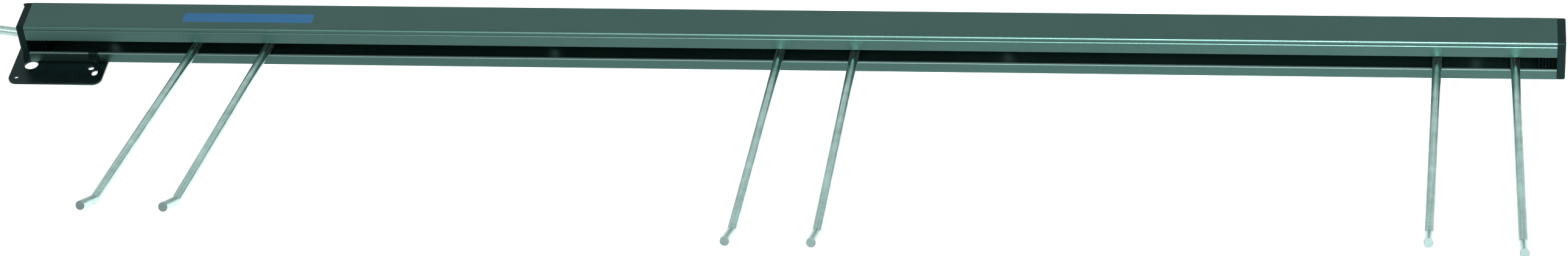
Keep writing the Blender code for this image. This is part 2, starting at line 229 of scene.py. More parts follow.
def anodised_aluminium():
    finish = Finish("anodised_aluminium", Specular_IOR_Level=0.2)
    x, y, z = finish.axes(finish.place())
    die_lines = finish.noise(finish.place((6.0, 2600.0, 2600.0)), 1.0, 3.0, 0.6)
    fine_lines = finish.noise(finish.place((30.0, 9000.0, 9000.0)), 1.0, 2.0)
    clouds = finish.noise(finish.place(), 22.0, 3.0)
    grain = finish.noise(finish.place(), 2600.0, 1.0)
    scratches = finish.noise(finish.place((9.0, 700.0, 700.0)), 1.0, 4.0, 0.7).ramp(0.70, 0.74)

    tint = (die_lines - 0.5) * 0.35 + (clouds - 0.5) * 0.3 + (grain - 0.5) * 0.35 + 0.5
    colour = finish.mix(tint, rgb(0.050, 0.106, 0.094), rgb(0.080, 0.158, 0.144))
    colour = finish.mix(scratches * 0.25, colour, rgb(0.16, 0.25, 0.23))
    # A paler colour along the lower lip's top edge is a painted highlight; the same mask also makes that
    # edge rougher.
    painted_lip_highlight = 1 - abs(z - SLOT_BOTTOM).ramp(0.0002, 0.0007)
    colour = finish.mix(painted_lip_highlight * 0.7, colour, rgb(0.30, 0.44, 0.42))

    ink = rounded_patch(finish, x, y) * z.ramp(TOP - 0.0002, TOP - 0.0001)
    ink_grain = finish.noise(finish.place(), 900.0, 3.0)
    blue = finish.mix(ink_grain, rgb(0.012, 0.085, 0.19), rgb(0.022, 0.11, 0.24))
    worn = finish.noise(finish.place((60.0, 400.0, 400.0)), 1.0, 3.0).ramp(0.66, 0.72)
    ink = ink * (1 - worn * 0.35)

    finish.feed(
        Base_Color=finish.mix(ink, colour, blue),
        Metallic=1 - ink,
        Roughness=(die_lines * 0.08 + clouds * 0.1 + 0.27) + ink * 0.1 + painted_lip_highlight * 0.25,
    )
    finish.bump(die_lines * 0.6 + fine_lines * 0.25 + grain * 0.15 + ink * 0.4, 0.000006)
    return finish.material


ANODISED = anodised_aluminium()
print("made", ANODISED.name)

# %% [markdown]
# ## Bare aluminium
#
# The bar is drilled, anodised and then sawn to length, so the sawn ends are
# bright metal and the holes aren't. A saw leaves fine straight tracks, which a
# stretched noise gives.


# %% Bare aluminium
def bare_aluminium():
    finish = Finish("bare_aluminium", Metallic=1.0)
    tracks = finish.noise(finish.place((400.0, 500.0, 6000.0)), 1.0, 3.0)
    finish.feed(
        Base_Color=finish.mix(tracks, rgb(0.62, 0.68, 0.66), rgb(0.86, 0.9, 0.88)),
        Roughness=tracks * 0.2 + 0.25,
    )
    finish.bump(tracks, 0.00001)
    return finish.material


BARE = bare_aluminium()
print("made", BARE.name)

# %% [markdown]
# ## Zinc-plated wire
#
# The wire was drawn through a die, bent, and then plated. Its drawing marks
# follow the wire round every bend, so they can't use the object's own X, Y and
# Z. Each wire carries an attribute, `straight_place`, that says where each
# point was while the wire was still straight: across, across, and along.
# Zinc is bluish and cloudy, with darker spots where it was handled.


# %% Zinc-plated wire and its sheared ends
def zinc_wire():
    finish = Finish("zinc_wire", Metallic=1.0)
    settings = {"attribute_type": "GEOMETRY", "attribute_name": "straight_place"}
    straight = finish.node("ShaderNodeAttribute", settings, output=1)
    inputs = {0: straight, 1: (1100.0, 1100.0, 22.0)}
    along = finish.node("ShaderNodeVectorMath", {"operation": "MULTIPLY"}, inputs)
    drawing = finish.noise(along, 1.0, 4.0, 0.65)
    clouds = finish.noise(straight, 90.0, 4.0, 0.6)
    spots = finish.noise(straight, 420.0, 2.0).ramp(0.62, 0.72) * clouds.ramp(0.45, 0.6)

    tone = drawing * 0.6 + clouds * 0.4
    colour = finish.mix(tone.ramp(0.3, 0.7), rgb(0.29, 0.43, 0.40), rgb(0.58, 0.78, 0.74))
    finish.feed(
        Base_Color=finish.mix(spots * 0.6, colour, rgb(0.22, 0.27, 0.27)),
        Roughness=drawing * 0.16 + clouds * 0.12 + spots * 0.15 + 0.16,
    )
    finish.bump(drawing * 0.7 + clouds * 0.3, 0.00003)
    return finish.material


def sheared_wire():
    finish = Finish("sheared_wire", Metallic=1.0)
    tracks = finish.noise(finish.place((2500.0, 900.0, 900.0)), 1.0, 3.0)
    finish.feed(
        Base_Color=finish.mix(tracks, rgb(0.10, 0.15, 0.145), rgb(0.24, 0.31, 0.30)),
        Roughness=tracks * 0.25 + 0.4,
    )
    finish.bump(tracks, 0.00006)
    return finish.material


ZINC = zinc_wire()
SHEARED = sheared_wire()
print("made", ZINC.name, SHEARED.name)

# %% [markdown]
# ## Black plastic and nylon
#
# Moulded plastic copies the texture of its mould: a fine, even grain a few
# hundredths of a millimetre deep. It isn't metallic, so its gloss is weak. The
# caps' plugs, inside the rail, take a darker and duller copy of the cap plastic,
# which paints the shade deep in the slot. The nylon clips are duller than the caps too.


# %% Moulded plastics
def moulded_plastic(name, dark, light, shine, gloss=0.12):
    finish = Finish(name, Specular_IOR_Level=gloss, Specular_Tint=rgb(0.5, 1.0, 0.98))
    grain = finish.noise(finish.place(), 2400.0, 2.0)
    clouds = finish.noise(finish.place(), 120.0, 3.0)
    scuffs = finish.noise(finish.place((300.0, 2200.0, 500.0)), 1.0, 3.0).ramp(0.66, 0.74)
    colour = finish.mix(clouds * 0.6 + grain * 0.4, dark, light)
    finish.feed(
        Base_Color=finish.mix(scuffs * 0.25, colour, rgb(0.04, 0.06, 0.06)),
        Roughness=clouds * 0.12 + scuffs * 0.15 + shine,
    )
    finish.bump(grain, 0.00002)
    return finish.material


CAP_PLASTIC = moulded_plastic("cap_plastic", rgb(0.001, 0.005, 0.005), rgb(0.003, 0.010, 0.010), 0.36)
# The plug's colours are the cap plastic darkened: painted shade for the inside of the slot.
PLUG_SHADED_DARK = rgb(0.0004, 0.0014, 0.0014)
PLUG_SHADED_LIGHT = rgb(0.001, 0.003, 0.003)
SHADED_PLUG_PLASTIC = moulded_plastic("shaded_plug_plastic", PLUG_SHADED_DARK, PLUG_SHADED_LIGHT, 0.6, 0.02)
NYLON = moulded_plastic("glider_nylon", rgb(0.003, 0.005, 0.005), rgb(0.007, 0.009, 0.009), 0.45)
print("made", CAP_PLASTIC.name, SHADED_PLUG_PLASTIC.name, NYLON.name)

# %% [markdown]
# ## Black powder coat
#
# The corner plate was laser cut, bent and powder coated. The coat levels into
# a faint orange-peel skin with a few grey specks, and it is a little dusty.


# %% Black powder coat
def powder_coat():
    finish = Finish("black_steel", Specular_IOR_Level=0.25, Specular_Tint=rgb(0.5, 1.0, 0.98))
    peel = finish.noise(finish.place(), 700.0, 2.0)
    dust = finish.noise(finish.place(), 60.0, 5.0, 0.65)
    specks = finish.noise(finish.place(), 2000.0, 1.0).ramp(0.74, 0.8)
    colour = finish.mix(dust.ramp(0.35, 0.7), rgb(0.0015, 0.004, 0.004), rgb(0.003, 0.008, 0.008))
    finish.feed(
        Base_Color=finish.mix(specks * 0.2, colour, rgb(0.05, 0.07, 0.07)),
        Roughness=dust * 0.18 + specks * 0.2 + 0.24,
    )
    finish.bump(peel, 0.00002)
    return finish.material


BLACK_STEEL = powder_coat()
print("made", BLACK_STEEL.name)

# %% [markdown]
# ## Zinc-plated screws
#
# The screws are plated like the wire, but turned on a lathe, so their marks run
# round them: fine in every direction, and finest along the axis.


# %% Zinc-plated screws
def plated_screw():
    finish = Finish("screw_steel", Metallic=1.0)
    swirl = finish.noise(finish.place((900.0, 900.0, 4000.0)), 1.0, 3.0)
    clouds = finish.noise(finish.place(), 500.0, 3.0)
    finish.feed(
        Base_Color=finish.mix(clouds, rgb(0.4, 0.43, 0.43), rgb(0.68, 0.7, 0.7)),
        Roughness=swirl * 0.2 + 0.2,
    )
    finish.bump(swirl, 0.00001)
    return finish.material


SCREW_STEEL = plated_screw()
print("made", SCREW_STEEL.name)

# %% [markdown]
# ## Helpers for pieces
#
# Every piece is a bmesh that ends as a mesh object at the origin, with its
# place in its mesh. Flat faces stay flat and bevels stay round when normals are
# weighted by face area, so each piece gets a Weighted Normal modifier.


# %% Turn a bmesh into a piece
SHARP_ANGLE = radians(50)
WELD_DISTANCE = 0.000002


def finish_mesh(name, shape, materials):
    bmesh.ops.remove_doubles(shape, verts=shape.verts, dist=WELD_DISTANCE)
    bmesh.ops.recalc_face_normals(shape, faces=shape.faces)
    mesh = bpy.data.meshes.new(name)
    shape.to_mesh(mesh)
    shape.free()
    for material in materials:
        mesh.materials.append(material)
    mesh.shade_smooth()
    mesh.set_sharp_from_angle(angle=SHARP_ANGLE)
    return mesh


def add_piece(name, shape, materials, body="rack", node=None):
    mesh = finish_mesh(name, shape, materials)
    piece = bpy.data.objects.new(name, mesh)
    bpy.context.scene.collection.objects.link(piece)
    flat = piece.modifiers.new("flat_faces", "WEIGHTED_NORMAL")
    flat.keep_sharp = True
    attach(piece, body)
    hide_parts(node)
    print(f"{name}: {len(mesh.polygons)} faces, rides on {body}")
    return piece


# %% Cut or join shapes
def combine(shape, tool, operation="DIFFERENCE"):
    """The shape after a Boolean with the tool, as a new bmesh; both are used up."""
    objects = []
    for part in (shape, tool):
        bmesh.ops.recalc_face_normals(part, faces=part.faces)
        mesh = bpy.data.meshes.new("workpiece")
        part.to_mesh(mesh)
        part.free()
        item = bpy.data.objects.new("workpiece", mesh)
        bpy.context.scene.collection.objects.link(item)
        objects.append(item)
    cut = objects[0].modifiers.new("cut", "BOOLEAN")
    cut.object = objects[1]
    cut.operation = operation
    cut.solver = "EXACT"
    graph = bpy.context.evaluated_depsgraph_get()
    result = bmesh.new()
    result.from_object(objects[0], graph)
    for item in objects:
        mesh = item.data
        bpy.data.objects.remove(item)
        bpy.data.meshes.remove(mesh)
    return result


# %% Small modelling helpers
def block(low, high):
    """A box between two corners."""
    shape = bmesh.new()
    bmesh.ops.create_cube(shape, size=1.0)
    bmesh.ops.scale(shape, vec=Vector(high) - Vector(low), verts=shape.verts)
    middle = (Vector(high) + Vector(low)) / 2
    bmesh.ops.translate(shape, vec=middle, verts=shape.verts)
    return shape


def round_bar(radius, start, end, far_radius=None):
    """A round bar, or a cone, between two points."""
    shape = bmesh.new()
    along = Vector(end) - Vector(start)
    bmesh.ops.create_cone(
        shape,
        cap_ends=True,
        segments=48,
        radius1=radius,
        radius2=radius if far_radius is None else far_radius,
        depth=along.length,
    )
    turn = along.to_track_quat("Z", "Y").to_matrix().to_4x4()
    middle = Matrix.Translation((Vector(start) + Vector(end)) / 2)
    bmesh.ops.transform(shape, matrix=middle @ turn, verts=shape.verts)
    return shape


def bevel(shape, edges, width, segments=3):
    bmesh.ops.bevel(
        shape,
        geom=list(edges),
        offset=width,
        offset_type="OFFSET",
        affect="EDGES",
        segments=segments,
        profile=0.5,
        material=-1,
    )


def extrude_outline(points, to_place, thickness):
    """A flat outline of points, placed by a function and pushed out along a vector."""
    shape = bmesh.new()
    corners = [shape.verts.new(to_place(*point)) for point in points]
    face = shape.faces.new(corners)
    grown = bmesh.ops.extrude_face_region(shape, geom=[face])["geom"]
    moved = [item for item in grown if isinstance(item, bmesh.types.BMVert)]
    bmesh.ops.translate(shape, vec=thickness, verts=moved)
    bmesh.ops.recalc_face_normals(shape, faces=shape.faces)
    return shape


def edges_along(shape, axis, test=lambda middle: True):
    """Edges that run along an axis and whose middle passes a test."""
    found = []
    for edge in shape.edges:
        first, second = (vert.co for vert in edge.verts)
        step = (second - first).normalized()
        if abs(step[axis]) > 0.999 and test((first + second) / 2):
            found.append(edge)
    return found


def near(first, second, within=0.00005):
    return abs(first - second) < within


# %% [markdown]
# ## The rail
#
# An extrusion is one outline pushed along a line. The outline starts with
# sharp corners, because corners are easier to name than arcs, and each long
# edge is then rounded by its own amount: a broad front top corner that catches
# the light, small radii elsewhere, and barely broken edges at the slot. A fine
# groove under the front corner gives the real rail its second bright line.

# %% Extrude the rail
GROOVE_DROP = 0.0031
GROOVE_UP = 0.0006
GROOVE_DOWN = 0.00067
GROOVE_DEPTH = 0.0006
GROOVE_TOP = TOP - GROOVE_DROP + GROOVE_UP
GROOVE_BOTTOM = TOP - GROOVE_DROP - GROOVE_DOWN
SLOT_EDGE = 0.0003
RAIL_OUTLINE = [
    (FRONT, SLOT_BOTTOM),
    (FRONT, BOTTOM),
    (BACK, BOTTOM),
    (BACK, TOP),
    (FRONT, TOP),
    (FRONT, GROOVE_TOP),
    (FRONT + GROOVE_DEPTH, TOP - GROOVE_DROP),
    (FRONT, GROOVE_BOTTOM),
    (FRONT, SLOT_TOP),
    (LIP_BACK, SLOT_TOP),
    (LIP_BACK, TOP - THIN_WALL),
    (BACK_INSIDE, TOP - THIN_WALL),
    (BACK_INSIDE, BOTTOM + THIN_WALL),
    (LIP_BACK, BOTTOM + THIN_WALL),
    (LIP_BACK, SLOT_BOTTOM),
]
# Each row: depth and height of a long edge, its radius, and the segments of its arc.
ROUNDED_EDGES = [
    (FRONT, GROOVE_TOP, 0.00015, 2),
    (FRONT, GROOVE_BOTTOM, 0.0002, 3),
    (FRONT, TOP, 0.0018, 8),
    (BACK, TOP, 0.0008, 3),
    (BACK, BOTTOM, 0.0008, 3),
    (FRONT, BOTTOM, 0.0009, 3),
]


def beside_slot(middle):
    return near(middle.z, SLOT_TOP) or near(middle.z, SLOT_BOTTOM)


def rail_shape():
    length = Vector((RIGHT - LEFT, 0.0, 0.0))
    shape = extrude_outline(RAIL_OUTLINE, lambda y, z: (LEFT, y, z), length)
    for y, z, radius, segments in ROUNDED_EDGES:
        edges = edges_along(shape, 0, lambda middle: near(middle.y, y) and near(middle.z, z))
        bevel(shape, edges, radius, segments)
    bevel(shape, edges_along(shape, 0, beside_slot), SLOT_EDGE, 2)
    return shape


# %% [markdown]
# Screw holes are drilled through the back wall and countersunk from inside, and
# one hole at each end goes up through the floor for the cap's screw. The saw
# leaves a burr at each end. It is filed off, and the file takes the sharpness
# off the long edges as well. The sawn faces are bare metal, and so is the filed
# edge round the left one.

# %% Drill the rail and file its ends
WALL_HOLE_INSET = 0.05
WALL_HOLE_PITCH = 0.3
WALL_HOLES = [LEFT + WALL_HOLE_INSET + WALL_HOLE_PITCH * index for index in range(4)]
WALL_HOLE_RADIUS = 0.0025
SINK_RADIUS = 0.00425
SINK_DEPTH = 0.003
SCREW_INSET = 0.006
SCREW_X = {"left": LEFT + SCREW_INSET, "right": RIGHT - SCREW_INSET}
SCREW_HOLE_RADIUS = 0.00225
FILED_EDGE = 0.0002


def drill(shape, x):
    """One wall-screw hole, with a 45-degree countersink from inside."""
    inside = Vector((x, BACK_INSIDE, SLOT_MIDDLE))
    into = Vector((0.0, 1.0, 0.0))
    before, beyond = 0.001, 0.004
    hole = round_bar(WALL_HOLE_RADIUS, inside - into * before, inside + into * beyond)
    shape = combine(shape, hole)
    widening = 0.00175
    wide_end = inside - into * widening
    narrow_end = inside + into * SINK_DEPTH
    cone = round_bar(SINK_RADIUS + widening, wide_end, narrow_end, SINK_RADIUS - SINK_DEPTH)
    return combine(shape, cone)


def screw_bore(x, low, high):
    """A cutter for a cap screw's hole, between two heights."""
    return round_bar(SCREW_HOLE_RADIUS, (x, MID_DEPTH, low), (x, MID_DEPTH, high))


def at_sawn_end(vert):
    return min(vert.co.x - LEFT, RIGHT - vert.co.x) < 0.00001


def bare_faces(shape):
    """Mark the sawn ends and the filed left edge as bare metal."""
    for face in shape.faces:
        middle = face.calc_center_median()
        at_left = middle.x - LEFT < 0.0005
        at_right = RIGHT - middle.x < 0.0001
        face.material_index = 1 if at_left or at_right else 0


rail = rail_shape()
for x in WALL_HOLES:
    rail = drill(rail, x)
for x in SCREW_X.values():
    rail = combine(rail, screw_bore(x, BOTTOM - 0.002, BOTTOM + 0.003))
# The long edges run from one sawn end to the other, so they are filed too. An arc's own
# facets can be narrower than the filed edge, and there they fold over each other slightly.
filed = [edge for edge in rail.edges if all(at_sawn_end(vert) for vert in edge.verts)]
bevel(rail, filed, FILED_EDGE, 1)
bare_faces(rail)
add_piece("aluminium_rail", rail, [ANODISED, BARE], "rack", "rail")

# %% [markdown]
# ## The end caps
#
# A cap is a flange the size of the rail's outline and a plug that fills the
# rail's end. Both grow from one block: the inner face is inset to the plug's
# size and pushed into the rail. Ribs on the plug's front grip the lip. They
# show through the slot as dark vertical bars.

# %% Mould the end caps
CAP_THICKNESS = 0.005
CAP_FIT = 0.00004
CAP_EDGE = 0.0013
PLUG_LENGTH = 0.012
PLUG_HOLE_TOP = -0.003
RIB_PITCH = 0.0021
RIB_START = 0.0012
RIB_GROOVES = 5
RIB_GROOVE_WIDTH = RIB_PITCH * 0.62
RIB_GROOVE_DEPTH = 0.0028


def cap_shape(side):
    outward = -1.0 if side == "left" else 1.0
    end = LEFT if side == "left" else RIGHT
    inner = end + outward * CAP_FIT
    outer = end + outward * (GAP + CAP_THICKNESS)
    low_x, high_x = sorted((inner, outer))
    shape = block((low_x, FRONT, BOTTOM), (high_x, BACK, TOP))
    face = next(f for f in shape.faces if near(f.calc_center_median().x, inner))
    bmesh.ops.inset_individual(shape, faces=[face], thickness=THIN_WALL + GAP)
    for vert in face.verts:
        if vert.co.y > MID_DEPTH:
            vert.co.y = BACK_INSIDE - GAP
    grown = bmesh.ops.extrude_face_region(shape, geom=[face])["geom"]
    moved = [item for item in grown if isinstance(item, bmesh.types.BMVert)]
    reach = Vector((-outward * (PLUG_LENGTH + CAP_FIT), 0.0, 0.0))
    bmesh.ops.translate(shape, vec=reach, verts=moved)
    if face.is_valid:
        bmesh.ops.delete(shape, geom=[face], context="FACES_ONLY")
    rim = [e for e in shape.edges if all(near(v.co.x, outer) for v in e.verts)]
    corners = edges_along(shape, 0, lambda middle: near(middle.x, (inner + outer) / 2))
    bevel(shape, rim + corners, CAP_EDGE, 4)
    return shape, inner, outward


def rib_plug(shape, inner, outward):
    """Cut upright grooves in the front of the plug, which leaves ribs."""
    for index in range(RIB_GROOVES):
        near_end = inner - outward * (RIB_START + RIB_PITCH * index)
        far_end = near_end - outward * RIB_GROOVE_WIDTH
        low_x, high_x = sorted((near_end, far_end))
        low = (low_x, LIP_BACK - 0.001, BOTTOM)
        groove = block(low, (high_x, LIP_BACK + GAP + RIB_GROOVE_DEPTH, TOP))
        shape = combine(shape, groove)
    return shape


def cap_body(side):
    """One cap, whose faces inside the rail take a darker copy of its plastic, as painted shade."""
    shape, inner, outward = cap_shape(side)
    shape = rib_plug(shape, inner, outward)
    shape = combine(shape, screw_bore(SCREW_X[side], BOTTOM - 0.002, PLUG_HOLE_TOP))
    for face in shape.faces:
        face.material_index = 1 if LEFT < face.calc_center_median().x < RIGHT else 0
    return shape


# %% [markdown]
# The left cap also carries the side hook, in a slanted bore, and has a small
# moulding pip at its top back corner, left by the gate of the mould.

# %% Finish the left cap
WIRE_RADIUS = 0.003
SIDE_RISE = radians(8.8)
SIDE_ROOT = Vector((LEFT - GAP - CAP_THICKNESS, MID_DEPTH, -0.001))
SIDE_ALONG = Vector((-cos(SIDE_RISE), 0.0, sin(SIDE_RISE)))
BORE_INSIDE = 0.03
BORE_OUTSIDE = 0.01
PIP_LOW = (SIDE_ROOT.x - 0.001, BACK - 0.002, TOP - 0.002)
PIP_HIGH = (SIDE_ROOT.x + 0.002, BACK - 0.0007, TOP - 0.0004)
PIP_EDGE = 0.0003

left_cap = cap_body("left")
pip = block(PIP_LOW, PIP_HIGH)
bevel(pip, list(pip.edges), PIP_EDGE, 2)
left_cap = combine(left_cap, pip, "UNION")
bore_end = SIDE_ROOT - SIDE_ALONG * BORE_INSIDE
bore = round_bar(WIRE_RADIUS + GAP, bore_end, SIDE_ROOT + SIDE_ALONG * BORE_OUTSIDE)
left_cap = combine(left_cap, bore)
add_piece("left_cap", left_cap, [CAP_PLASTIC, SHADED_PLUG_PLASTIC], "rack", "end_cap_left")
right_cap = cap_body("right")
add_piece("right_cap", right_cap, [CAP_PLASTIC, SHADED_PLUG_PLASTIC], "rack", "end_cap_right")

# %% [markdown]
# ## The cap screws
#
# Each cap is held by a pan-head screw from below. A screw is a turned shape:
# half its outline, spun round its axis. Two thin tapered blades then cut a
# cross recess in the head.

# %% Turn the cap screws
SHANK = 0.00195
POINT_LENGTH = 0.003
THREAD_RINGS = 14
THREAD_ROOT = SHANK * 0.82
THREAD_SLOPE = 0.0003
HEAD = 0.0036
HEAD_EDGE = 0.0003
HEAD_STEPS = 6
RECESS_LENGTH = 0.0028
RECESS_WIDTH = 0.0007
BLADE_HEIGHT = 0.0026
BLADE_CENTRE = 0.0006
SCREW_LOW, SCREW_HIGH = (Vector(corner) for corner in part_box("cap_screw_right"))
SCREW_LENGTH = SCREW_HIGH.z - (BOTTOM - GAP)
HEAD_HEIGHT = BOTTOM - GAP - SCREW_LOW.z


def screw_outline():
    """Half the screw's outline as (radius, height), from its point to its head."""
    threaded = SCREW_LENGTH - POINT_LENGTH
    outline = [(0.0, SCREW_LENGTH), (SHANK * 0.3, SCREW_LENGTH), (SHANK * 0.85, threaded)]
    for index in range(THREAD_RINGS):
        height = threaded * (1 - (index + 0.5) / THREAD_RINGS)
        outline.append((THREAD_ROOT, height + THREAD_SLOPE))
        outline.append((SHANK, height))
    outline += [(SHANK, 0.0), (HEAD - HEAD_EDGE, 0.0), (HEAD, -HEAD_EDGE)]
    for step in range(1, HEAD_STEPS + 1):
        angle = radians(75 * step / HEAD_STEPS)
        outline.append((HEAD * cos(angle), -HEAD_HEIGHT * (0.3 + 0.7 * sin(angle))))
    outline.append((0.0, -HEAD_HEIGHT))
    return outline


def blade(across, along):
    """A four-sided bar of the given half widths, narrower at its upper end."""
    shape = bmesh.new()
    bmesh.ops.create_cone(shape, cap_ends=True, segments=4, radius1=1.0, radius2=0.45, depth=1.0)
    bmesh.ops.rotate(shape, verts=shape.verts, cent=(0, 0, 0), matrix=Matrix.Rotation(pi / 4, 3, "Z"))
    bmesh.ops.scale(shape, vec=(across, along, BLADE_HEIGHT), verts=shape.verts)
    return shape


def screw_shape(side):
    shape = bmesh.new()
    verts = [shape.verts.new((radius, 0.0, height)) for radius, height in screw_outline()]
    edges = [shape.edges.new(pair) for pair in zip(verts, verts[1:])]
    bmesh.ops.spin(
        shape,
        geom=verts + edges,
        cent=(0, 0, 0),
        axis=(0, 0, 1),
        angle=2 * pi,
        steps=40,
        use_merge=True,
    )
    bmesh.ops.remove_doubles(shape, verts=shape.verts, dist=0.000001)
    for across, along in ((RECESS_LENGTH, RECESS_WIDTH), (RECESS_WIDTH, RECESS_LENGTH)):
        cutter = blade(across, along)
        bmesh.ops.translate(cutter, vec=(0, 0, -HEAD_HEIGHT + BLADE_CENTRE), verts=cutter.verts)
        shape = combine(shape, cutter)
    plate = PLATE_THICKNESS + GAP if side == "left" else 0.0
    seat = Vector((SCREW_X[side], MID_DEPTH, BOTTOM - GAP - plate))
    bmesh.ops.translate(shape, vec=seat, verts=shape.verts)
    return shape


for side in ("left", "right"):
    screw = screw_shape(side)
    add_piece(f"{side}_cap_screw", screw, [SCREW_STEEL], "rack", f"cap_screw_{side}")

# %% [markdown]
# ## The corner plate
#
# A flat plate with two rounded front corners, laser-cut holes, and a tab that
# is bent up in front of the lower lip and hooks over it. The flat shape comes
# first, the tab is joined to it, the holes are cut, and last every edge is
# broken slightly, as the coating rounds it.

# %% Cut and bend the corner plate
PLATE_LOW, PLATE_HIGH = (Vector(corner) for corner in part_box("corner_plate"))
PLATE_TOP = BOTTOM - GAP
PLATE_CORNER = 0.006
PLATE_EDGE = 0.00018
TAB_X = LEFT + 0.0443
TAB_HALF = 0.0029
TAB_HOOK = 0.0035
TAB_BEND = 0.0012
NOTCH_WIDTH = 2 * TAB_HALF - 0.0026
CUT_BELOW = 0.004
CUT_ABOVE = 0.0012
# Each row: right of the rail's end, forward of its front, radius, length of the slot.
PLATE_HOLES = [
    (0.0007, 0.0026, 0.0046, 0.0),
    (-0.0063, 0.0155, 0.00155, 0.0),
    (0.0461, 0.0100, 0.0020, 0.0022),
    (0.0425, 0.0052, 0.0021, 0.0),
]


def plate_blank():
    low, high = PLATE_LOW, PLATE_HIGH
    points = [(low.x, low.y), (high.x, low.y), (high.x, BACK), (low.x, BACK)]
    thickness = Vector((0.0, 0.0, PLATE_THICKNESS))
    under = PLATE_TOP - PLATE_THICKNESS
    shape = extrude_outline(points, lambda x, y: (x, y, under), thickness)
    bevel(shape, edges_along(shape, 2, lambda middle: near(middle.y, low.y)), PLATE_CORNER, 10)
    return shape


def tab_shape():
    """The bent tab: a strip seen from the side, then narrowed at its foot."""
    front = FRONT - GAP - PLATE_THICKNESS
    over = SLOT_BOTTOM + GAP
    inside = LIP_BACK + GAP
    strip = [
        (front, PLATE_TOP - PLATE_THICKNESS / 2),
        (front, over + PLATE_THICKNESS),
        (inside + PLATE_THICKNESS, over + PLATE_THICKNESS),
        (inside + PLATE_THICKNESS, over - TAB_HOOK),
        (inside, over - TAB_HOOK),
        (inside, over),
        (front + PLATE_THICKNESS, over),
        (front + PLATE_THICKNESS, PLATE_TOP - PLATE_THICKNESS / 2),
    ]
    width = Vector((2 * TAB_HALF, 0.0, 0.0))
    shape = extrude_outline(strip, lambda y, z: (TAB_X - TAB_HALF, y, z), width)
    corners = edges_along(shape, 0, lambda m: near(m.z, over + PLATE_THICKNESS))
    bevel(shape, corners, TAB_BEND, 5)
    notch_top = SLOT_BOTTOM - LOWER_LIP / 2
    notch_left = TAB_X - TAB_HALF - 0.001
    notch_right = TAB_X - TAB_HALF + NOTCH_WIDTH
    notch_outline = [
        (notch_left, notch_top + 0.001),
        (notch_left, PLATE_TOP + 0.0001),
        (notch_right, PLATE_TOP + 0.0001),
        (notch_right, notch_top - TAB_HALF),
    ]
    notch = extrude_outline(notch_outline, lambda x, z: (x, front - 0.001, z), Vector((0.0, 0.004, 0.0)))
    return combine(shape, notch)


plate = combine(plate_blank(), tab_shape(), "UNION")
below = Vector((0.0, 0.0, -CUT_BELOW))
above = Vector((0.0, 0.0, CUT_ABOVE))
for right, forward, radius, slot_length in PLATE_HOLES:
    centre = Vector((LEFT + right, FRONT - forward, PLATE_TOP))
    for end in {-slot_length / 2, slot_length / 2}:
        spot = centre + Vector((0.0, end, 0.0))
        plate = combine(plate, round_bar(radius, spot + below, spot + above))
    if slot_length:
        half = Vector((radius, slot_length / 2, 0.0))
        plate = combine(plate, block(centre - half + below, centre + half + above))
plate = combine(plate, screw_bore(SCREW_X["left"], PLATE_TOP - CUT_BELOW, PLATE_TOP + 0.002))
plate = add_piece("drilled_plate", plate, [BLACK_STEEL], "rack", "corner_plate")
soft = plate.modifiers.new("broken_edges", "BEVEL")
soft.width = PLATE_EDGE
soft.segments = 2
soft.limit_method = "ANGLE"
soft.angle_limit = SHARP_ANGLE
# The bevel has to come before the weighted normals.
plate.modifiers.move(1, 0)

# %% [markdown]
# ## Bending wire
#
# The hooks are bent on a wire bender, so the script works like one. It holds
# the ring of points at the end of the wire. `feed` pushes the wire straight
# on, which is an extrude, and `bend` swings the ring round a centre step by
# step, which is a spin. Each ring also stores its place on the straight wire,
# for the drawing marks in the finish.


